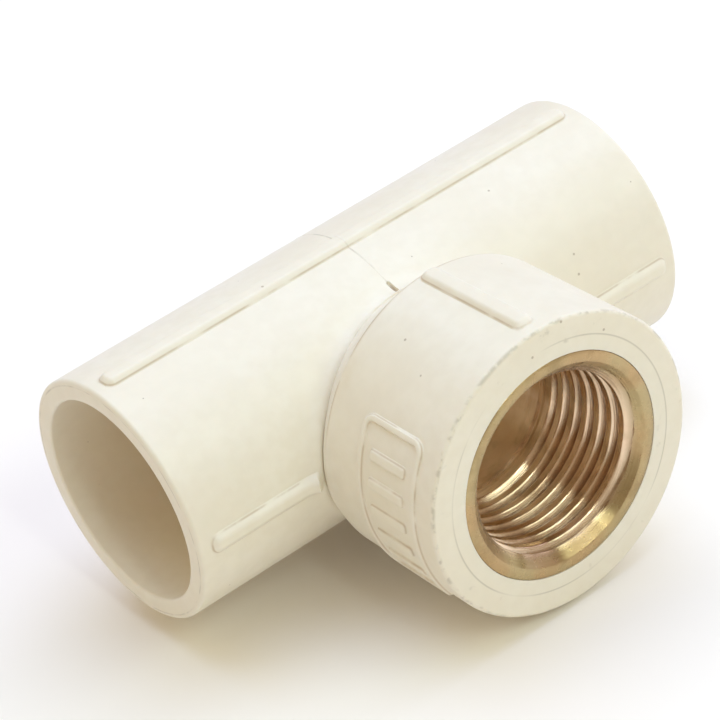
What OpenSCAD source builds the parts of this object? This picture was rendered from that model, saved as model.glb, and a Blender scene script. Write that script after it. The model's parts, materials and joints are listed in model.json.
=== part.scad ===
// Solvent-weld pipe tee with a threaded brass branch.
// The run lies along X, the branch faces -Y and +Z is up.
// The origin is the point where the run's axis crosses the branch's axis.

/* [Run] */
// Outside diameter of the run
run_d = 26.8; // [26.4:0.1:28]
// Length of the run from end face to end face
run_length = 62.5; // [61:0.1:68]
// Diameter of the clear waterway through the middle of the run
waterway_d = 19; // [18:0.1:20]
// Width of the bevel on each end face's outer edge
end_bevel = 0.4; // [0.2:0.1:0.8]

/* [Pipe sockets] */
// Bore of each pipe socket, halfway down its slight taper
socket_d = 22.3; // [22.1:0.05:22.5]
// Depth of each pipe socket from the end face to the pipe stop
socket_depth = 18.3; // [17.8:0.1:20]
// Width of the lead-in bevel at each socket's mouth
socket_bevel = 0.2; // [0.1:0.05:0.5]

/* [Collar] */
// Outside diameter of the collar that holds the brass insert
collar_d = 32; // [31:0.1:34]
// Distance from the run's axis to the collar's front face
face_distance = 30.8; // [30.5:0.1:34]
// Length of the collar's full-diameter part
collar_length = 16.6; // [16:0.1:18]
// Width of the bevel on the front face's outer edge
collar_bevel = 0.5; // [0.2:0.1:1]
// Diameter of the water passage behind the insert
passage_d = 18.2; // [17.8:0.1:18.3]

/* [Insert thread] */
// Bore over the thread's crests, G 1/2
thread_crest_d = 18.631; // [18.6:0.001:18.7]
// Diameter at the bottom of the thread's grooves
thread_root_d = 20.955; // [20.9:0.001:21]
// Distance between neighbouring grooves
thread_pitch = 1.814; // [1.8:0.001:1.82]
// Angle between the two flanks of a groove
thread_angle = 55; // [55:1:60]
// Number of full grooves
thread_grooves = 7; // [5:1:7]
// Diameter of the countersink at the front face
countersink_d = 21.6; // [21:0.1:22]

/* [Insert outside] */
// Length of the insert from its front ring to its rear end
insert_length = 18.6; // [17:0.1:18.8]
// Outside diameter of the front ring, which shows in the collar's face
front_ring_d = 23.9; // [23.5:0.1:24]
// Length of the front ring
front_ring_length = 2.6; // [2.4:0.1:3]
// Outside diameter of the knurled bands
knurl_d = 26; // [25.6:0.1:26.4]
// Depth of the flutes between the knurl's teeth
knurl_depth = 0.6; // [0.4:0.1:0.8]
// Number of teeth round each knurled band
knurl_teeth = 36; // [24:1:48]
// Length of each knurled band
knurl_length = 3.4; // [3:0.1:3.6]
// Outside diameter of the plain rear end
rear_end_d = 22.6; // [22:0.1:23]

/* [Seals] */
// Outside diameter of each rubber sealing ring
seal_d = 27; // [26.6:0.1:27.4]
// Width of each sealing ring and of the groove that it fills
seal_groove_w = 2.4; // [2.2:0.1:2.6]
// Diameter at the bottom of each sealing ring's groove
seal_groove_d = 23; // [22.8:0.1:23.2]

/* [Ribs] */
// Width of the ribs along the top and bottom
rib_w = 2.5; // [2:0.1:3]
// Width of the ribs along the front and back of the run
side_rib_w = 2.3; // [1.5:0.1:2.5]
// Height of every rib above the surface it stands on
rib_h = 0.6; // [0.4:0.1:0.8]
// Distance from a rib's end to the nearest end face
rib_setback = 1.4; // [1:0.1:2.5]

/* [Panel] */
// Width of the raised panel frame, measured along the branch
panel_w = 9.1; // [8:0.1:10]
// Height of the raised panel frame
panel_h = 18.2; // [16:0.1:20]
// Distance from the collar's front face to the panel frame
panel_setback = 2.5; // [2:0.1:3.5]
// Width of the panel's border
panel_border = 0.9; // [0.8:0.1:1.6]
// Corner radius of the panel frame
panel_corner_r = 1.8; // [1.5:0.1:2.5]
// Height of the panel frame and its bars above the collar
panel_relief = 0.3; // [0.2:0.05:0.5]
// Number of plain raised bars inside the panel
panel_bars = 5; // [3:1:5]
// Width of each raised bar
panel_bar_w = 1.3; // [1:0.1:1.5]

/* [Hidden] */
$fn = 96;

run_r = run_d / 2;
collar_r = collar_d / 2;
collar_rear = face_distance - collar_length;
insert_rear = face_distance - insert_length;
// Roots of the ribs and the panel reach this far into the wall
overlap = 0.6;
// Cutting shapes pass the faces they cut by this much
clearance = 1;

groove_depth = (thread_root_d - thread_crest_d) / 2;
groove_half_w = groove_depth * tan(thread_angle / 2);
countersink_depth = (countersink_d - thread_crest_d) / 2;
first_groove = countersink_depth + 0.8;

// Distances from the front face to the start of each part of the insert's outside
front_knurl_at = front_ring_length;
front_seal_at = front_knurl_at + knurl_length;
rear_knurl_at = front_seal_at + seal_groove_w;
rear_seal_at = rear_knurl_at + knurl_length;
rear_end_at = rear_seal_at + seal_groove_w;

// Turns a child that stands on +Z so that it lies along the run
module along_run() {
    rotate([0, 90, 0]) children();
}

// Turns a child that stands on +Z so that it points out of the branch
module along_branch() {
    rotate([90, 0, 0]) children();
}

// Places a child at a depth behind the collar's front face, pointing into the tee
module behind_face(depth) {
    along_branch() translate([0, 0, face_distance - depth]) mirror([0, 0, 1]) children();
}

module run_outside() {
    half = run_length / 2;
    rotate_extrude() polygon([
        [0, -half],
        [run_r - end_bevel, -half],
        [run_r, end_bevel - half],
        [run_r, half - end_bevel],
        [run_r - end_bevel, half],
        [0, half]
    ]);
}

// The full-diameter collar with a 45 degree shoulder that runs back into the run
module collar_outside() {
    shoulder_h = collar_rear - run_r / 2;
    rotate_extrude() polygon([
        [0, run_r / 2],
        [collar_r - shoulder_h, run_r / 2],
        [collar_r, collar_rear],
        [collar_r, face_distance - collar_bevel],
        [collar_r - collar_bevel, face_distance],
        [0, face_distance]
    ]);
}

// A bar along Z whose root is at the given radius on +X, with bevelled sides
module rib(radius, width, from, to) {
    translate([0, 0, from]) linear_extrude(to - from) polygon([
        [radius - overlap, -width / 2],
        [radius, -width / 2],
        [radius + rib_h, -width / 2 + rib_h / 2],
        [radius + rib_h, width / 2 - rib_h / 2],
        [radius, width / 2],
        [radius - overlap, width / 2]
    ]);
}

// Ribs on the four quarters of the run: the front one stops at the collar on each side
module run_ribs() {
    reach = run_length / 2 - rib_setback;
    for (turn = [0, 180]) {
        rotate([0, 0, turn]) rib(run_r, rib_w, -reach, reach);
    }
    rotate([0, 0, 90]) rib(run_r, side_rib_w, -reach, reach);
    for (side = [0, 1]) {
        mirror([0, 0, side]) rotate([0, 0, -90]) rib(run_r, side_rib_w, collar_r, reach);
    }
}

module collar_ribs() {
    for (turn = [90, -90]) {
        rotate([0, 0, turn]) rib(collar_r, rib_w, collar_rear, face_distance - rib_setback);
    }
}

module rounded_rectangle(width, height, radius) {
    square([width - 2 * radius, height], center = true);
    square([width, height - 2 * radius], center = true);
    for (x = [-1, 1], y = [-1, 1]) {
        translate([x * (width / 2 - radius), y * (height / 2 - radius)]) circle(radius);
    }
}

// A frame with plain bars across it
module panel_outline() {
    inner_w = panel_w - 2 * panel_border;
    inner_h = panel_h - 2 * panel_border;
    bar_step = inner_h / (panel_bars + 1);
    difference() {
        rounded_rectangle(panel_w, panel_h, panel_corner_r);
        rounded_rectangle(inner_w, inner_h, panel_corner_r - panel_border);
    }
    for (i = [1 : panel_bars]) {
        translate([0, i * bar_step - inner_h / 2])
            rounded_rectangle(inner_w - 2 * panel_border, panel_bar_w, panel_bar_w / 2 - 0.05);
    }
}

// The panel stands on the collar's flank that faces -X
module panel() {
    middle = face_distance - panel_setback - panel_w / 2;
    intersection() {
        translate([0, -middle, 0]) rotate([90, 0, -90]) linear_extrude(collar_d) panel_outline();
        along_branch() difference() {
            cylinder(r = collar_r + panel_relief, h = face_distance);
            translate([0, 0, -clearance])
                cylinder(r = collar_r - overlap, h = face_distance + 2 * clearance);
        }
    }
}

module socket_bore() {
    half = run_length / 2;
    translate([0, 0, half - socket_depth]) cylinder(d = socket_d, h = socket_depth + clearance);
    translate([0, 0, half - socket_bevel])
        cylinder(d1 = socket_d, d2 = socket_d + 2 * socket_bevel, h = socket_bevel);
}

module run_bores() {
    cylinder(d = waterway_d, h = run_length, center = true);
    for (side = [0, 1]) {
        mirror([0, 0, side]) socket_bore();
    }
}

// A round band with flutes cut along it, standing on z = 0
module knurled_band() {
    linear_extrude(knurl_length) polygon([
        for (i = [0 : 2 * knurl_teeth - 1])
            let (r = knurl_d / 2 - (i % 2) * knurl_depth, a = 180 * i / knurl_teeth)
                [r * cos(a), r * sin(a)]
    ]);
}

// The insert's outside with no bore, standing on its front face
module insert_blank() {
    cylinder(d = front_ring_d, h = front_ring_length);
    for (at = [front_knurl_at, rear_knurl_at]) {
        translate([0, 0, at]) knurled_band();
    }
    for (at = [front_seal_at, rear_seal_at]) {
        translate([0, 0, at]) cylinder(d = seal_groove_d, h = seal_groove_w);
    }
    translate([0, 0, rear_end_at]) cylinder(d = rear_end_d, h = insert_length - rear_end_at);
}

// Countersink, ring-shaped thread grooves and plain bore as one turned outline
module threaded_bore() {
    crest_r = thread_crest_d / 2;
    groove_points = [
        for (i = [0 : thread_grooves - 1], step = [-1, 0, 1])
            [
                crest_r + (1 - abs(step)) * groove_depth,
                first_groove + i * thread_pitch + step * groove_half_w
            ]
    ];
    rotate_extrude() polygon(concat(
        [
            [0, -clearance],
            [crest_r + countersink_depth + clearance, -clearance],
            [crest_r, countersink_depth]
        ],
        groove_points,
        [[crest_r, insert_length + clearance], [0, insert_length + clearance]]
    ));
}

// A flat-sided rubber ring that stands on z = 0
module seal_ring() {
    difference() {
        cylinder(d = seal_d, h = seal_groove_w);
        translate([0, 0, -clearance])
            cylinder(d = seal_groove_d, h = seal_groove_w + 2 * clearance);
    }
}

module tee_body() {
    color([0.94, 0.91, 0.83]) difference() {
        union() {
            along_run() run_outside();
            along_run() run_ribs();
            along_branch() collar_outside();
            along_branch() collar_ribs();
            panel();
        }
        along_run() run_bores();
        along_branch() cylinder(d = passage_d, h = insert_rear + clearance);
        behind_face(0) insert_blank();
        behind_face(front_seal_at) cylinder(d = seal_d, h = seal_groove_w);
        behind_face(rear_seal_at) cylinder(d = seal_d, h = seal_groove_w);
        behind_face(-clearance) cylinder(d = front_ring_d, h = 2 * clearance);
    }
}

module brass_insert() {
    color([0.8, 0.66, 0.42]) behind_face(0) difference() {
        insert_blank();
        threaded_bore();
    }
}

module front_seal() {
    color([0.07, 0.07, 0.07]) behind_face(front_seal_at) seal_ring();
}

module rear_seal() {
    color([0.07, 0.07, 0.07]) behind_face(rear_seal_at) seal_ring();
}

tee_body();
brass_insert();
front_seal();
rear_seal();
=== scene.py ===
import json
import math

import bmesh
import bpy
import numpy as np
from mathutils import Matrix, Vector


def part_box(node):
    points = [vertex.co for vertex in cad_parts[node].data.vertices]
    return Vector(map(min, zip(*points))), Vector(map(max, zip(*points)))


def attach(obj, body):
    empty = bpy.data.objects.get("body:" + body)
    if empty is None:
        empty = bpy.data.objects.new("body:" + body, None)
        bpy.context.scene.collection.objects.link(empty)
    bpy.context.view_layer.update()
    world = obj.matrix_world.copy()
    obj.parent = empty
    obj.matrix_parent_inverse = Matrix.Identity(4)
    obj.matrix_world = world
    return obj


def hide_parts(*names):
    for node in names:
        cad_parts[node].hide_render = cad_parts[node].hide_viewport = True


# A pipe tee with a threaded brass branch. The run lies along X, the branch faces -Y, +Z is up,
# and the origin is where their axes cross. Every size is in metres.

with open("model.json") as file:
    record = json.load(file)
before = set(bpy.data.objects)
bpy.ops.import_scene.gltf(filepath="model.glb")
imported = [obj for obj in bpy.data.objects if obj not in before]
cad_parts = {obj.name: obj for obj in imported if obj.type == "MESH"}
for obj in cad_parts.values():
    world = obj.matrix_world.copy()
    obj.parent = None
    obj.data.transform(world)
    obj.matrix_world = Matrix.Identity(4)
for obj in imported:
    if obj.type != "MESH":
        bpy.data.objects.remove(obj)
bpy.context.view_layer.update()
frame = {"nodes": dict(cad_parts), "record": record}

MM = 0.001
# A length that is too small to matter
TINY = 1e-9
# Two marks nearer than this count as one
SAME_MARK = 1e-7

# ---------------------------------------------------------------- sizes that the frame gives

mounts = {mount["name"]: mount for mount in frame["record"]["mounts"]}
body_low, body_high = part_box("tee_body")
insert_low, insert_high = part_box("brass_insert")

RIB_HEIGHT = 0.6 * MM
RUN_HALF = body_high[0]
RUN_R = body_high[1] - RIB_HEIGHT
COLLAR_R = body_high[2] - RIB_HEIGHT
FACE = -body_low[1]
INSERT_LENGTH = insert_high[1] - insert_low[1]
KNURL_R = insert_high[0]
SOCKET_R = mounts["run_socket_left"]["dims"]["r_mm"] * MM
WATERWAY_R = mounts["run_waterway"]["dims"]["r_mm"] * MM
WATERWAY_HALF = mounts["run_waterway"]["dims"]["length_mm"] / 2 * MM
CREST_R = mounts["branch_thread"]["dims"]["r_mm"] * MM

# ---------------------------------------------------------------- sizes of the looks

END_ROUND = 0.45 * MM
MOUTH_ROUND = 0.3 * MM
COLLAR_LENGTH = 16.6 * MM
COLLAR_REAR = FACE - COLLAR_LENGTH
COLLAR_ROUND = 0.45 * MM
COLLAR_DRAFT = 0.2 * MM
RIM_ROUND = 0.6 * MM
JUNCTION_BLEND = 2.4 * MM
PASSAGE_R = 9.1 * MM

TOP_RIB_HALF = 1.25 * MM
SIDE_RIB_HALF = 1.15 * MM
RIB_SETBACK = 1.4 * MM
RIB_CORNER = 1.0 * MM
RIB_EDGE = 0.75 * MM
SIDE_RIB_EDGE = 0.9 * MM
FRONT_RIB_OVERLAP = 0.4 * MM

PANEL_HALF_W = 4.55 * MM
PANEL_HALF_H = 9.95 * MM
PANEL_SETBACK = 2.5 * MM
PANEL_BORDER = 0.9 * MM
PANEL_CORNER = 1.5 * MM
PANEL_RELIEF = 0.3 * MM
PANEL_EDGE = 0.28 * MM
PANEL_BARS = 5
BAR_HALF = 0.65 * MM
BAR_CORNER = 0.6 * BAR_HALF

SEAM_X = 0.15 * MM
SEAM_HALF = 0.09 * MM
SEAM_HEIGHT = 0.03 * MM
NOTCH_HALF_W = 0.24 * MM
NOTCH_HALF_L = 0.95 * MM
NOTCH_EDGE = 0.9 * NOTCH_HALF_W
NOTCH_DEPTH = 0.3 * MM
NOTCH_ANGLE = math.radians(34.8)
WITNESS_R = 13.6 * MM

FRONT_RING_R = 11.95 * MM
COUNTERSINK_R = 10.8 * MM
PITCH = 1.8143 * MM
GROOVE_DEPTH = 1.0 * MM
FLANK_ANGLE = math.radians(27.5)
CREST_ROUND = 0.08 * MM
ROOT_ROUND = 0.08 * MM
FULL_THREAD_END = 11.6 * MM
THREAD_END = 17 * MM
GROOVE_START = 0.43 * MM
FRONT_RING_LENGTH = 2.6 * MM
RING_EDGE = 0.08 * MM
RING_GAP = 0.03 * MM
KNURL_LENGTH = 3.4 * MM
KNURL_DEPTH = 0.6 * MM
KNURL_TEETH = 36
SEAL_GROOVE_R = 11.5 * MM
SEAL_GROOVE_W = 2.4 * MM
REAR_END_R = 11.3 * MM
PASSAGE_END = 1 * MM

# ---------------------------------------------------------------- how fine the meshes are

PLAIN_TURN = math.radians(2.2)
RUN_STEP = 0.8 * MM
COLLAR_STEP = 0.5 * MM
INSERT_STEP = 0.4 * MM
RIB_ZONE = 1.5 * MM
RIB_STEP = 0.11 * MM
DETAIL_STEP = 0.12 * MM
JUNCTION_STEP = 0.16 * MM
THREAD_STEP = 0.075 * MM
SHOULDER_ROWS = 24
BORE_COLUMNS = 180
INSERT_COLUMNS = 288
FILL_PASSES = 4
MOULDING_SMOOTH = 35
INSERT_SMOOTH = 50


# ---------------------------------------------------------------- mesh helpers

def stations(start, stop, step, fine_zones=()):
    """Sorted marks from start to stop, closer together inside each (middle, half width, step)."""
    marks = np.linspace(start, stop, max(2, round((stop - start) / step) + 1))
    for middle, half, fine_step in fine_zones:
        low = max(start, middle - half)
        high = min(stop, middle + half)
        marks = marks[(marks < low) | (marks > high)]
        fine = np.linspace(low, high, max(2, round((high - low) / fine_step) + 1))
        marks = np.sort(np.concatenate([marks, fine]))
    apart = np.concatenate([[True], np.diff(marks) > SAME_MARK])
    return marks[apart]


def whole_turn(columns):
    """The angles of evenly spaced columns all the way round."""
    return np.linspace(0, 2 * math.pi, columns, endpoint=False)


def arc(centre, radius, from_degrees, to_degrees, steps):
    """(along, radius) points of a rounded edge, by angle from the outward radius."""
    turns = np.radians(np.linspace(from_degrees, to_degrees, steps))
    return [
        (centre[0] + radius * math.sin(t), centre[1] + radius * math.cos(t)) for t in turns
    ]


def on_run(along, radius, angle):
    """Points round the X axis. Angle 0 is the top, and a quarter turn is the front, at -Y."""
    return np.stack([along, -radius * np.sin(angle), radius * np.cos(angle)], axis=-1)


def on_branch(along, radius, angle):
    """Points round the branch's axis. Angle 0 is the top, and a quarter turn faces -X."""
    return np.stack([-radius * np.sin(angle), -along, radius * np.cos(angle)], axis=-1)


def turned_mesh(name, place, profile, angles, relief=None, ring=False):
    """A closed mesh made by turning a profile of (along, radius) rows round one axis.

    relief(along, radius, angle) is what the surface rises by. A plain profile runs from pole to
    pole, and a ring's last row joins its first.
    """
    profile = np.array(profile)
    along, angle = np.meshgrid(profile[:, 0], angles, indexing="ij")
    radius = np.repeat(profile[:, 1][:, None], len(angles), axis=1)
    if relief is not None:
        radius = radius + relief(along, radius, angle)
    points = place(along, radius, angle).reshape(-1, 3)
    rows, columns = along.shape
    row, column = np.meshgrid(
        np.arange(rows if ring else rows - 1), np.arange(columns), indexing="ij"
    )
    next_row = (row + 1) % rows
    next_column = (column + 1) % columns
    corners = [(row, column), (row, next_column), (next_row, next_column), (next_row, column)]
    faces = np.stack([r * columns + c for r, c in corners], axis=-1).reshape(-1, 4).tolist()
    if not ring:
        poles = place(profile[[0, -1], 0], np.zeros(2), np.zeros(2))
        points = np.concatenate([points, poles])
        first_pole = rows * columns
        last_row = first_pole - columns
        for i in range(columns):
            j = (i + 1) % columns
            faces.append((first_pole, j, i))
            faces.append((first_pole + 1, last_row + i, last_row + j))
    return mesh_object(name, points, faces)


def mesh_object(name, points, faces):
    """A mesh object in the scene, with its faces turned outwards."""
    mesh = bpy.data.meshes.new(name)
    mesh.from_pydata(points.tolist(), [], faces)
    work = bmesh.new()
    work.from_mesh(mesh)
    bmesh.ops.recalc_face_normals(work, faces=work.faces)
    work.to_mesh(mesh)
    work.free()
    obj = bpy.data.objects.new(name, mesh)
    bpy.context.scene.collection.objects.link(obj)
    return obj


def combine(target, tool, operation):
    """Applies a boolean to target with tool, then deletes tool."""
    step = target.modifiers.new(operation, "BOOLEAN")
    step.operation = operation
    step.solver = "MANIFOLD"
    step.object = tool
    shown = target.evaluated_get(bpy.context.evaluated_depsgraph_get())
    mesh = bpy.data.meshes.new_from_object(shown)
    target.modifiers.clear()
    target.data = mesh
    bpy.data.objects.remove(tool)


def smooth_by_angle(obj, degrees):
    """Smooth shading with sharp edges where faces meet at more than the given angle."""
    work = bmesh.new()
    work.from_mesh(obj.data)
    limit = math.radians(degrees)
    for face in work.faces:
        face.smooth = True
    for edge in work.edges:
        edge.smooth = len(edge.link_faces) == 2 and edge.calc_face_angle() < limit
    work.to_mesh(obj.data)
    work.free()


# ---------------------------------------------------------------- relief on the moulding

def inside_slot(u, v, half_u, half_v, corner):
    """How far a point lies inside a rounded rectangle, negative outside it."""
    past_u = np.abs(u) - (half_u - corner)
    past_v = np.abs(v) - (half_v - corner)
    outside = np.hypot(np.maximum(past_u, 0), np.maximum(past_v, 0))
    return corner - outside - np.minimum(np.maximum(past_u, past_v), 0)


def raised(inside, edge):
    """0 outside an outline, rising in a rounded edge to 1 a little way inside it."""
    return np.sin(np.clip(inside / edge, 0, 1) * math.pi / 2)


def turned_from(angle, middle):
    """The angle from middle, between minus and plus half a turn."""
    return (angle - middle + math.pi) % (2 * math.pi) - math.pi


def run_relief(along, radius, angle):
    """Ribs on the four quarters, the parting seam round the middle and the gate's notch."""
    reach = RUN_HALF - RIB_SETBACK
    front_middle = (COLLAR_R - FRONT_RIB_OVERLAP + reach) / 2
    from_front = np.abs(along) - front_middle
    ribs = (
        (0, along, reach, TOP_RIB_HALF, RIB_EDGE),
        (math.pi, along, reach, TOP_RIB_HALF, RIB_EDGE),
        (-math.pi / 2, along, reach, SIDE_RIB_HALF, SIDE_RIB_EDGE),
        (math.pi / 2, from_front, reach - front_middle, SIDE_RIB_HALF, SIDE_RIB_EDGE),
    )
    height = np.zeros_like(along)
    for quarter, from_rib_middle, half_length, half_width, edge in ribs:
        across = turned_from(angle, quarter) * RUN_R
        inside = inside_slot(from_rib_middle, across, half_length, half_width, RIB_CORNER)
        height = np.maximum(height, RIB_HEIGHT * raised(inside, edge))
    seam = SEAM_HEIGHT * raised(SEAM_HALF - np.abs(along - SEAM_X), SEAM_HALF)
    at_notch = turned_from(angle, NOTCH_ANGLE) * RUN_R
    inside = inside_slot(along - SEAM_X, at_notch, NOTCH_HALF_W, NOTCH_HALF_L, NOTCH_EDGE)
    return height + seam - NOTCH_DEPTH * raised(inside, NOTCH_EDGE)


def panel_height(u, v):
    """The raised frame with plain bars across it. u runs along its height, v along its width."""
    outer = inside_slot(u, v, PANEL_HALF_H, PANEL_HALF_W, PANEL_CORNER)
    inner_h = PANEL_HALF_H - PANEL_BORDER
    inner_w = PANEL_HALF_W - PANEL_BORDER
    inner = inside_slot(u, v, inner_h, inner_w, PANEL_CORNER - PANEL_BORDER)
    inside = np.minimum(outer, -inner)
    step = 2 * inner_h / (PANEL_BARS + 1)
    for i in range(PANEL_BARS):
        bar_at = (i + 1) * step - inner_h
        bar = inside_slot(u - bar_at, v, BAR_HALF, inner_w - PANEL_BORDER, BAR_CORNER)
        inside = np.maximum(inside, bar)
    return PANEL_RELIEF * raised(inside, PANEL_EDGE)


def collar_relief(along, radius, angle):
    """The collar's two ribs and the panel on its flank."""
    height = np.zeros_like(along)
    reach = (COLLAR_LENGTH - RIB_SETBACK) / 2
    for quarter in (0, math.pi):
        across = turned_from(angle, quarter) * COLLAR_R
        inside = inside_slot(
            along - COLLAR_REAR - reach, across, reach, TOP_RIB_HALF, RIB_CORNER
        )
        height = np.maximum(height, RIB_HEIGHT * raised(inside, RIB_EDGE))
    flank = turned_from(angle, math.pi / 2) * COLLAR_R
    middle = FACE - PANEL_SETBACK - PANEL_HALF_W
    height = np.maximum(height, panel_height(flank, along - middle))
    on_flank = (along > COLLAR_REAR) & (along < FACE - COLLAR_ROUND)
    return np.where(on_flank, height, 0)


# ---------------------------------------------------------------- the moulding

def run_outside():
    """The run with its ribs, seam and notch. Its columns start clear of every rib."""
    rib_zones = [
        (quarter, RIB_ZONE / RUN_R, RIB_STEP / RUN_R)
        for quarter in (-math.pi / 2, 0, math.pi / 2, math.pi)
    ]
    rib_zones.append((NOTCH_ANGLE, 1.1 * MM / RUN_R, 0.1 * MM / RUN_R))
    angles = stations(-0.8 * math.pi, 1.2 * math.pi, PLAIN_TURN, rib_zones)[:-1]
    end = RUN_HALF - END_ROUND
    rib_end = RUN_HALF - RIB_SETBACK
    zones = [
        (-rib_end, RIB_CORNER, DETAIL_STEP),
        (-COLLAR_R, 1.6 * MM, JUNCTION_STEP),
        (SEAM_X, 0.4 * MM, 0.04 * MM),
        (COLLAR_R, 1.6 * MM, JUNCTION_STEP),
        (rib_end, RIB_CORNER, DETAIL_STEP),
    ]
    flat_r = RUN_R - END_ROUND
    profile = [(-RUN_HALF, flat_r)]
    profile += arc((-end, flat_r), END_ROUND, -75, 0, 6)
    profile += [(x, RUN_R) for x in stations(-end, end, RUN_STEP, zones)[1:-1]]
    profile += arc((end, flat_r), END_ROUND, 0, 75, 6)
    profile += [(RUN_HALF, flat_r)]
    return turned_mesh("tee_moulding", on_run, profile, angles, run_relief)


def collar_outside():
    """The collar with its ribs and panel, and the shoulder that runs down into the run."""
    zones = [(quarter, RIB_ZONE / COLLAR_R, RIB_STEP / COLLAR_R) for quarter in (0, math.pi)]
    zones += [(math.pi / 2, (PANEL_HALF_H + 0.4 * MM) / COLLAR_R, DETAIL_STEP / COLLAR_R)]
    angles = stations(-0.5 * math.pi, 1.5 * math.pi, PLAIN_TURN, zones)[:-1]
    shoulder_h = COLLAR_REAR - RUN_R / 2
    panel_middle = FACE - PANEL_SETBACK - PANEL_HALF_W
    flank_zones = [
        (COLLAR_REAR + 0.6 * MM, 0.8 * MM, DETAIL_STEP),
        (panel_middle, PANEL_HALF_W + 0.3 * MM, DETAIL_STEP),
    ]
    flat_r = COLLAR_R - COLLAR_ROUND
    rear_r = COLLAR_R - COLLAR_DRAFT
    front = FACE - COLLAR_ROUND
    rear = COLLAR_REAR + RIM_ROUND * math.tan(math.radians(45) / 2)
    # The 45 degree shoulder starts inside the run and ends just short of the rim's rounding
    profile = [
        (COLLAR_REAR - shoulder_h * share, rear_r - shoulder_h * share)
        for share in np.linspace(1, 0.06, SHOULDER_ROWS)
    ]
    profile += arc((rear, rear_r - RIM_ROUND), RIM_ROUND, -40, 0, 5)
    profile += [
        (w, COLLAR_R - COLLAR_DRAFT * (front - w) / (front - rear))
        for w in stations(rear, front, COLLAR_STEP, flank_zones)[1:-1]
    ]
    profile += arc((front, flat_r), COLLAR_ROUND, 0, 80, 8)
    profile += [(FACE, flat_r)]
    return turned_mesh("collar", on_branch, profile, angles, collar_relief)


def run_bores():
    """The space of both sockets and of the waterway between their pipe stops."""
    mouth = (RUN_HALF - MOUTH_ROUND, SOCKET_R + MOUTH_ROUND)
    right = [(WATERWAY_HALF, WATERWAY_R), (WATERWAY_HALF, SOCKET_R)]
    right += arc(mouth, MOUTH_ROUND, 180, 90, 7)
    right.append((RUN_HALF + MM, SOCKET_R + MOUTH_ROUND))
    left = [(-along, radius) for along, radius in reversed(right)]
    return turned_mesh("run_bores", on_run, left + right, whole_turn(BORE_COLUMNS))


def pocket():
    """The space in the collar that the insert fills, and the water passage behind it."""
    rows = [(PASSAGE_END, PASSAGE_R), (FACE - INSERT_LENGTH, PASSAGE_R)]
    rows += [(FACE - depth, radius) for depth, radius in reversed(insert_outside())]
    # The stretch round the front ring is wider, which leaves the fine gap
    rows[-1] = (FACE, FRONT_RING_R + RING_GAP)
    rows[-2] = (rows[-2][0], FRONT_RING_R + RING_GAP)
    rows.append((FACE + MM, FRONT_RING_R + RING_GAP))
    return turned_mesh("pocket", on_branch, rows, whole_turn(INSERT_COLUMNS), flutes)


def gap_to_outside(points):
    """Distance to the outside, sharp and with the filled corner, and the direction away from it."""
    x, y, z = points.T
    from_run = np.maximum(np.hypot(y, z), TINY)
    from_branch = np.maximum(np.hypot(x, z), TINY)
    run_gap = from_run - RUN_R
    flank_gap = from_branch - COLLAR_R
    shoulder_gap = (from_branch + y - COLLAR_R + COLLAR_REAR) / math.sqrt(2)
    collar_gap = np.maximum(flank_gap, shoulder_gap)
    none = np.zeros_like(x)
    run_way = np.stack([none, y / from_run, z / from_run], axis=-1)
    flank_way = np.stack([x / from_branch, none, z / from_branch], axis=-1)
    shoulder_way = (flank_way + np.array([0, 1, 0])) / math.sqrt(2)
    collar_way = np.where((flank_gap > shoulder_gap)[:, None], flank_way, shoulder_way)
    near = np.clip(1 - np.abs(run_gap - collar_gap) / JUNCTION_BLEND, 0, 1)
    hard_gap = np.minimum(run_gap, collar_gap)
    soft_gap = hard_gap - near**2 * JUNCTION_BLEND / 4
    share = np.where(run_gap < collar_gap, 1 - near / 2, near / 2)[:, None]
    return hard_gap, soft_gap, share * run_way + (1 - share) * collar_way


def fill_junction(obj):
    """Softens the corner between the run and the collar, as a mould leaves it."""
    flat = np.empty(len(obj.data.vertices) * 3)
    obj.data.vertices.foreach_get("co", flat)
    points = flat.reshape(-1, 3)
    wanted = gap_to_outside(points)[0]
    for _ in range(FILL_PASSES):
        _, soft_gap, way = gap_to_outside(points)
        points += (wanted - soft_gap)[:, None] * way
    obj.data.vertices.foreach_set("co", points.ravel())
    obj.data.update()


def make_moulding():
    """The run and the collar in one piece, with their corner softened and the bores cut."""
    body = run_outside()
    combine(body, collar_outside(), "UNION")
    fill_junction(body)
    combine(body, run_bores(), "DIFFERENCE")
    combine(body, pocket(), "DIFFERENCE")
    return body


# ---------------------------------------------------------------- the brass insert

def insert_outside():
    """(depth, radius) rows of the insert's outside, from the front ring to its rear end."""
    rows = [(0, FRONT_RING_R), (FRONT_RING_LENGTH, FRONT_RING_R)]
    depth = FRONT_RING_LENGTH
    for _ in range(2):
        rows += [(depth, KNURL_R), (depth + KNURL_LENGTH, KNURL_R)]
        depth += KNURL_LENGTH
        rows += [(depth, SEAL_GROOVE_R), (depth + SEAL_GROOVE_W, SEAL_GROOVE_R)]
        depth += SEAL_GROOVE_W
    rows += [(depth, REAR_END_R), (INSERT_LENGTH, REAR_END_R)]
    return rows


def flutes(along, radius, angle):
    """Cuts teeth into the rows that have the knurl's radius."""
    wave = np.abs((angle * KNURL_TEETH / (2 * math.pi)) % 1 * 2 - 1)
    return np.where(np.isclose(radius, KNURL_R), -KNURL_DEPTH * wave, 0)


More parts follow.
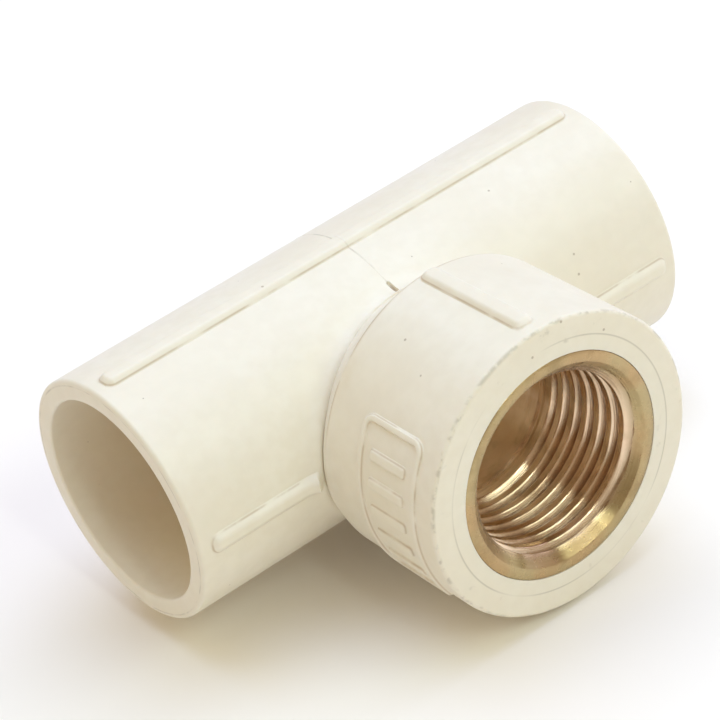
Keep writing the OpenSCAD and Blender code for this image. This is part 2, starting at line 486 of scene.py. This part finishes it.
def thread_relief(along, radius, angle):
    """Cuts a right-handed groove into the bore and its countersink, and flutes outside."""
    depth = FACE - along
    turn = depth + PITCH * angle / (2 * math.pi) - GROOVE_START
    from_groove = np.hypot((turn + PITCH / 2) % PITCH - PITCH / 2, ROOT_ROUND)
    flank = GROOVE_DEPTH - from_groove / math.tan(FLANK_ANGLE)
    groove = (flank + np.hypot(flank, CREST_ROUND)) / 2
    groove *= np.clip((THREAD_END - depth) / (THREAD_END - FULL_THREAD_END), 0, 1) ** 3
    in_bore = radius < COUNTERSINK_R + TINY
    cut = np.maximum(CREST_R + groove - radius, 0)
    return np.where(in_bore, cut, flutes(along, radius, angle))


def make_insert():
    """The bore and its countersink from the face to the rear, then the outside back to the face."""
    thread_zone = (THREAD_END / 2, THREAD_END / 2, THREAD_STEP)
    depths = stations(0, INSERT_LENGTH, INSERT_STEP, [thread_zone])
    rows = [(FACE - d, max(CREST_R, COUNTERSINK_R - d)) for d in depths]
    outside = [(FACE - d, r) for d, r in insert_outside()]
    outside[0] = (FACE - RING_EDGE, FRONT_RING_R)
    rows += reversed(outside)
    rows.append((FACE, FRONT_RING_R - RING_EDGE))
    angles = whole_turn(INSERT_COLUMNS)
    return turned_mesh("threaded_insert", on_branch, rows, angles, thread_relief, ring=True)


# ---------------------------------------------------------------- materials

class Shading:
    """A node material round one Principled shader, with short ways to add nodes to it."""

    def __init__(self, name, roughness, metallic=0.0):
        self.made = bpy.data.materials.new(name)
        self.made.use_nodes = True
        self.tree = self.made.node_tree
        self.shader = self.tree.nodes["Principled BSDF"]
        self.shader.inputs["Roughness"].default_value = roughness
        self.shader.inputs["Metallic"].default_value = metallic
        self.place = self.add("ShaderNodeTexCoord", {}).outputs["Object"]
        axes = self.add("ShaderNodeSeparateXYZ", {0: self.place}).outputs
        self.x, self.y, self.z = axes[0], axes[1], axes[2]

    def add(self, kind, inputs, **settings):
        """Adds a node. An input is linked if it is given a socket, and set otherwise."""
        made = self.tree.nodes.new(kind)
        for key, value in settings.items():
            setattr(made, key, value)
        for key, value in inputs.items():
            if isinstance(value, bpy.types.NodeSocket):
                self.tree.links.new(value, made.inputs[key])
            else:
                made.inputs[key].default_value = value
        return made

    def math(self, operation, first, second=0.0):
        return self.add("ShaderNodeMath", {0: first, 1: second}, operation=operation).outputs[0]

    def radius(self, first, second):
        """Distance from an axis, from the two coordinates across it."""
        squares = self.math(
            "ADD", self.math("MULTIPLY", first, first), self.math("MULTIPLY", second, second)
        )
        return self.math("SQRT", squares)

    def noise(self, scale, detail=3.0, place=None):
        inputs = {"Vector": place or self.place, "Scale": scale, "Detail": detail}
        return self.add("ShaderNodeTexNoise", inputs).outputs["Fac"]

    def ramp(self, value, low, high):
        """Rises smoothly from 0 at low to 1 at high. It falls instead if high is under low."""
        inputs = {"Value": value, "From Min": low, "From Max": high}
        return self.add("ShaderNodeMapRange", inputs, interpolation_type="SMOOTHSTEP").outputs[0]

    def near(self, value, middle, reach):
        """1 where a value equals middle, falling to 0 at a reach from it."""
        away = self.math("ABSOLUTE", self.math("SUBTRACT", value, middle))
        return self.ramp(away, reach, 0.0)

    def both(self, *masks):
        mask = masks[0]
        for other in masks[1:]:
            mask = self.math("MULTIPLY", mask, other)
        return mask

    def strongest(self, *masks):
        mask = masks[0]
        for other in masks[1:]:
            mask = self.math("MAXIMUM", mask, other)
        return mask

    def mix(self, share, first, second):
        # Inputs 6 and 7 are the node's pair of colours
        inputs = {0: share, 6: first, 7: second}
        made = self.add("ShaderNodeMix", inputs, data_type="RGBA")
        return made.outputs[2]

    def tint(self, colour, mask, strength, tone):
        """Moves a colour towards a tone, by a mask times a strength."""
        return self.mix(self.math("MULTIPLY", mask, strength), colour, (*tone, 1))

    def bump(self, height, strength, distance, before=None):
        inputs = {"Height": height, "Strength": strength, "Distance": distance}
        if before:
            inputs["Normal"] = before
        return self.add("ShaderNodeBump", inputs).outputs["Normal"]

    def finish(self, colour, roughness, normal):
        self.tree.links.new(colour, self.shader.inputs["Base Color"])
        self.tree.links.new(roughness, self.shader.inputs["Roughness"])
        self.tree.links.new(normal, self.shader.inputs["Normal"])
        return self.made


def specks(look, scale, radius, share):
    """Round specks in a share of the cells of a Voronoi pattern. The radius is in cells."""
    cells = look.add("ShaderNodeTexVoronoi", {"Vector": look.place, "Scale": scale}).outputs
    spot = look.ramp(cells["Distance"], radius, 0.5 * radius)
    picked = look.ramp(cells["Color"], 1 - share, 1.01 - share)
    return look.both(spot, picked)


class MouldingShading(Shading):
    """Shading that also measures where a point lies on the moulding."""

    def __init__(self, name, roughness):
        super().__init__(name, roughness)
        self.from_middle = self.math("ABSOLUTE", self.x)
        self.from_run = self.math("SUBTRACT", self.radius(self.y, self.z), RUN_R)
        self.from_branch = self.radius(self.x, self.z)
        self.from_collar = self.math("SUBTRACT", self.from_branch, COLLAR_R)
        from_face = self.math("ADD", self.y, FACE)
        draft = self.math("MULTIPLY", from_face, COLLAR_DRAFT / COLLAR_LENGTH)
        self.from_flank = self.math("ADD", self.from_collar, draft)
        from_rear = self.math("ADD", self.y, COLLAR_REAR)
        self.from_shoulder = self.math("ADD", self.from_collar, from_rear)


def cream(look):
    """The plastic's own colour, with clouds, mottle and a few stains."""
    clouds = look.ramp(look.noise(70, 4.0), 0.3, 0.7)
    mottle = look.ramp(look.noise(650, 3.0), 0.3, 0.7)
    stain = look.ramp(look.noise(130, 5.0), 0.62, 0.78)
    colour = look.mix(clouds, (0.87, 0.82, 0.69, 1), (0.84, 0.78, 0.635, 1))
    colour = look.tint(colour, mottle, 0.5, (0.81, 0.75, 0.61))
    return look.tint(colour, stain, 0.35, (0.74, 0.64, 0.46))


def socket_painted_shade(look):
    """Painted shade: 0 outside the bores, rising from a socket's mouth to 1 at 8 mm inside it."""
    bore = SOCKET_R - RUN_R
    in_socket = look.ramp(look.from_run, bore + 0.3 * MM, bore - 0.3 * MM)
    return look.both(in_socket, look.ramp(look.from_middle, RUN_HALF + 2 * MM, RUN_HALF - 8 * MM))


def edge_dirt_and_ring_shade(look):
    """Grey dirt on the face's edge, the seam, the scuffed face and the run's ends, and a painted shadow
    line on the witness ring.
    """
    patches = look.ramp(look.noise(420, 3.0), 0.35, 0.65)
    front_rim = look.both(
        look.near(look.from_collar, -0.15 * MM, 0.3 * MM),
        look.near(look.y, -FACE + 0.15 * MM, 0.4 * MM),
        look.ramp(look.noise(900, 5.0), 0.46, 0.62),
    )
    # Painted shade: a thin dark line on the face, where the witness ring shows as a shadow line
    witness_ring_shade = look.both(
        look.near(look.from_branch, WITNESS_R, 0.14 * MM),
        look.near(look.y, -FACE, 0.05 * MM),
        look.ramp(look.noise(90, 2.0), 0.42, 0.62),
    )
    seam = look.both(
        look.near(look.x, SEAM_X, 0.16 * MM),
        look.near(look.from_run, 0, 0.8 * MM),
        patches,
    )
    scuffs = look.both(
        look.near(look.y, -FACE, 0.1 * MM),
        look.ramp(look.noise(600, 6.0), 0.64, 0.8),
    )
    end_ring = look.both(
        look.near(look.from_run, -0.55 * MM, 0.14 * MM),
        look.near(look.from_middle, RUN_HALF, 0.2 * MM),
        patches,
    )
    return look.strongest(front_rim, witness_ring_shade, seam, scuffs, end_ring)


def foot_dirt_and_shade(look):
    """Brown dirt and painted crease shade at the foot of the ribs and the panel, and dirt on top of the
    collar's rear rim.
    """
    # It stays off the filled corner, which rises from the run and the collar as a rib does
    clear_of_collar = look.ramp(look.from_shoulder, 3.2 * MM, 3.8 * MM)
    clear_of_run = look.ramp(look.from_run, JUNCTION_BLEND, JUNCTION_BLEND + 0.6 * MM)
    rear_rim = look.both(
        look.near(look.from_flank, -0.1 * MM, 0.3 * MM),
        look.near(look.y, -COLLAR_REAR, 0.35 * MM),
        look.ramp(look.z, 2 * MM, 9 * MM),
    )
    # The feet of the relief are darkened as painted crease shade as well as dirt
    foot = look.strongest(
        look.both(look.near(look.from_run, 0.14 * MM, 0.13 * MM), clear_of_collar),
        look.both(look.near(look.from_flank, 0.14 * MM, 0.13 * MM), clear_of_run),
        rear_rim,
    )
    return look.both(foot, look.ramp(look.noise(300, 5.0), 0.32, 0.58))


def notch_stain_and_shade(look):
    """1 in the gate's notch, which lies on the seam beside the collar. Its dark brown is partly a stain
    and partly painted shade in the recess.
    """
    return look.both(
        look.near(look.x, SEAM_X, 1.2 * NOTCH_HALF_W),
        look.near(look.y, -RUN_R * math.sin(NOTCH_ANGLE), 1.1 * NOTCH_HALF_L),
        look.ramp(look.z, 0, MM),
    )


def cpvc_material():
    """Cream moulded plastic, darker and yellower deep in the sockets as painted shade, with dirt,
    painted shade in creases and in the notch, and dark specks.
    """
    look = MouldingShading("cpvc", 0.4)
    look.shader.inputs["Subsurface Weight"].default_value = 0.12
    look.shader.inputs["Subsurface Scale"].default_value = 1.5 * MM
    look.shader.inputs["Subsurface Radius"].default_value = (1.0, 0.7, 0.45)
    look.shader.inputs["Specular IOR Level"].default_value = 0.4

    specked = look.strongest(specks(look, 260, 0.05, 0.35), specks(look, 700, 0.08, 0.2))
    # Painted shade: deep in the sockets the cream turns darker and yellower, as the warm shade there
    # looks
    colour = look.tint(cream(look), socket_painted_shade(look), 0.9, (0.84, 0.71, 0.50))
    # Grey dirt, with the witness ring's painted shadow line
    colour = look.tint(colour, edge_dirt_and_ring_shade(look), 0.45, (0.36, 0.32, 0.24))
    # Dirt and painted shade: brown at the feet of the ribs and the panel, where shade falls in the
    # crease
    colour = look.tint(colour, foot_dirt_and_shade(look), 0.6, (0.48, 0.35, 0.2))
    # Stain and painted shade: dark brown in the notch, part stain and part the shade in the recess
    colour = look.tint(colour, notch_stain_and_shade(look), 0.9, (0.36, 0.23, 0.11))
    colour = look.tint(colour, specked, 0.55, (0.28, 0.2, 0.12))

    roughness = look.math("ADD", look.math("MULTIPLY", look.noise(300, 3.0), 0.25), 0.28)
    normal = look.bump(look.noise(220, 3.0), 0.12, 0.25 * MM)
    normal = look.bump(look.noise(1600, 2.0), 0.10, 0.05 * MM, normal)
    return look.finish(colour, roughness, normal)


def brass_material():
    """Turned brass: yellow outside the bore and pinker inside it, with tarnish, tool marks and painted
    shade in the thread's grooves.
    """
    look = Shading("brass", 0.3, 1.0)
    look.shader.inputs["Anisotropic"].default_value = 1.0
    look.shader.inputs["Anisotropic Rotation"].default_value = 0.25
    tangent = look.add("ShaderNodeTangent", {}, direction_type="RADIAL", axis="Y")
    look.tree.links.new(tangent.outputs[0], look.shader.inputs["Tangent"])
    from_axis = look.radius(look.x, look.z)
    inside = look.ramp(look.y, 0.5 * MM - FACE, 1.5 * MM - FACE)
    patches = look.ramp(look.noise(240, 4.0), 0.35, 0.65)
    outer = look.mix(patches, (0.53, 0.415, 0.215, 1), (0.55, 0.38, 0.19, 1))
    inner = look.mix(patches, (0.90, 0.71, 0.50, 1), (0.82, 0.61, 0.42, 1))
    colour = look.mix(inside, outer, inner)
    # Painted shade: the thread's grooves are darkened towards their roots, where shade falls
    painted_valley_shade = look.both(look.ramp(from_axis, CREST_R + 0.1 * MM, CREST_R + 0.9 * MM), inside)
    colour = look.tint(colour, painted_valley_shade, 0.45, (0.25, 0.16, 0.10))
    tarnish = look.ramp(look.noise(380, 6.0), 0.5, 0.72)
    colour = look.tint(colour, tarnish, 0.4, (0.33, 0.22, 0.10))

    rings = look.add("ShaderNodeCombineXYZ", {0: from_axis, 1: look.y}).outputs[0]
    marks = look.noise(7000, 2.0, rings)
    dull = look.math("SUBTRACT", 0.2, look.math("MULTIPLY", inside, 0.07))
    roughness = look.math("ADD", look.math("MULTIPLY", look.noise(900, 2.0), 0.16), dull)
    normal = look.bump(marks, 0.7, 0.04 * MM)
    normal = look.bump(look.noise(1500, 2.0), 0.15, 0.03 * MM, normal)
    return look.finish(colour, roughness, normal)


def rubber_material():
    """Black rubber with a light bloom."""
    look = Shading("rubber", 0.6)
    bloom = look.ramp(look.noise(500, 3.0), 0.45, 0.8)
    colour = look.mix(bloom, (0.02, 0.02, 0.02, 1), (0.06, 0.06, 0.06, 1))
    roughness = look.math("ADD", look.math("MULTIPLY", bloom, 0.2), 0.55)
    return look.finish(colour, roughness, look.bump(look.noise(1500, 2.0), 0.3, 0.05 * MM))


def paper_material():
    """Plain pale paper."""
    look = Shading("floor_paper", 0.9)
    look.shader.inputs["Base Color"].default_value = (0.97, 0.93, 0.87, 1)
    return look.made


# ---------------------------------------------------------------- the object

def dress(obj, made, node):
    """Gives a piece its material, slot and body, and hides the CAD node that it stands for."""
    obj.data.materials.clear()
    obj.data.materials.append(made)
    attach(obj, "root")
    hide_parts(node)


moulding = make_moulding()
smooth_by_angle(moulding, MOULDING_SMOOTH)
dress(moulding, cpvc_material(), "tee_body")

insert = make_insert()
smooth_by_angle(insert, INSERT_SMOOTH)
dress(insert, brass_material(), "brass_insert")

# The seals keep their CAD shape and only get their material
rubber = rubber_material()
for name in ("front_seal", "rear_seal"):
    seal = frame["nodes"][name]
    seal.data.materials.clear()
    seal.data.materials.append(rubber)

# ---------------------------------------------------------------- floor, light and camera

FLOOR_Z = body_low[2]
FLOOR_HALF = 1
CAMERA_AZIMUTH = math.radians(-32.21)
CAMERA_ELEVATION = math.radians(34.29)
CAMERA_ROLL = math.radians(11.9)
CAMERA_DISTANCE = 384.5 * MM
CAMERA_LENS = 188.8
CAMERA_SENSOR = 36
CAMERA_CLIP = 0.01
AIM_RIGHT = -0.28 * MM
AIM_UP = -0.78 * MM


def make_floor():
    """A square of paper under the tee, wider than the view."""
    corners = ((-1, -1), (1, -1), (1, 1), (-1, 1))
    points = np.array([(x * FLOOR_HALF, y * FLOOR_HALF, FLOOR_Z) for x, y in corners])
    floor = mesh_object("floor", points, [(0, 1, 2, 3)])
    floor.data.materials.append(paper_material())


def make_light(name, size, power, place, colour):
    """A soft light of a (width, height) in metres and a power in watts, aimed at the origin."""
    light = bpy.data.lights.new(name, "AREA")
    light.shape = "RECTANGLE"
    light.size = size[0]
    light.size_y = size[1]
    light.energy = power
    light.color = colour
    obj = bpy.data.objects.new(name, light)
    obj.location = place
    obj.rotation_mode = "QUATERNION"
    obj.rotation_quaternion = (-Vector(place)).to_track_quat("-Z", "Y")
    bpy.context.scene.collection.objects.link(obj)


def make_world(strength, colour):
    """Even light of one colour from all round."""
    world = bpy.data.worlds.new("studio")
    world.use_nodes = True
    world.node_tree.nodes["Background"].inputs["Color"].default_value = (*colour, 1)
    world.node_tree.nodes["Background"].inputs["Strength"].default_value = strength
    bpy.context.scene.world = world


def make_camera():
    """Looks at the tee from the photographed side, turned a little about its own axis."""
    back = Vector((
        math.sin(CAMERA_AZIMUTH) * math.cos(CAMERA_ELEVATION),
        -math.cos(CAMERA_AZIMUTH) * math.cos(CAMERA_ELEVATION),
        math.sin(CAMERA_ELEVATION),
    ))
    turn = back.to_track_quat("Z", "Y") @ Matrix.Rotation(-CAMERA_ROLL, 3, "Z").to_quaternion()
    data = bpy.data.cameras.new("camera")
    data.sensor_width = CAMERA_SENSOR
    data.lens = CAMERA_LENS
    data.clip_start = CAMERA_CLIP
    obj = bpy.data.objects.new("camera", data)
    obj.rotation_mode = "QUATERNION"
    obj.rotation_quaternion = turn
    aim = turn @ Vector((AIM_RIGHT, AIM_UP, 0))
    obj.location = aim + back * CAMERA_DISTANCE
    bpy.context.scene.collection.objects.link(obj)
    bpy.context.scene.camera = obj


make_floor()
make_world(0.44, (1.0, 0.83, 0.64))
make_light("overhead", (0.9, 0.9), 6.5, (0.15, 0.15, 0.8), (0.55, 0.7, 1.0))
make_light("strip", (0.05, 0.3), 0.45, (-0.1, -0.55, 0.5), (0.9, 1.0, 0.9))
make_light("panel", (0.6, 0.2), 1.3, (0.22, -0.5, 0.5), (0.83, 1.0, 0.9))
make_light("right", (0.5, 0.5), 1.4, (0.7, 0.0, 0.35), (0.68, 0.67, 1.0))
make_light("left_back", (0.5, 0.5), 0.65, (-0.5, 0.4, 0.5), (1.0, 0.85, 0.4))
make_camera()
bpy.context.scene.view_settings.view_transform = "Standard"
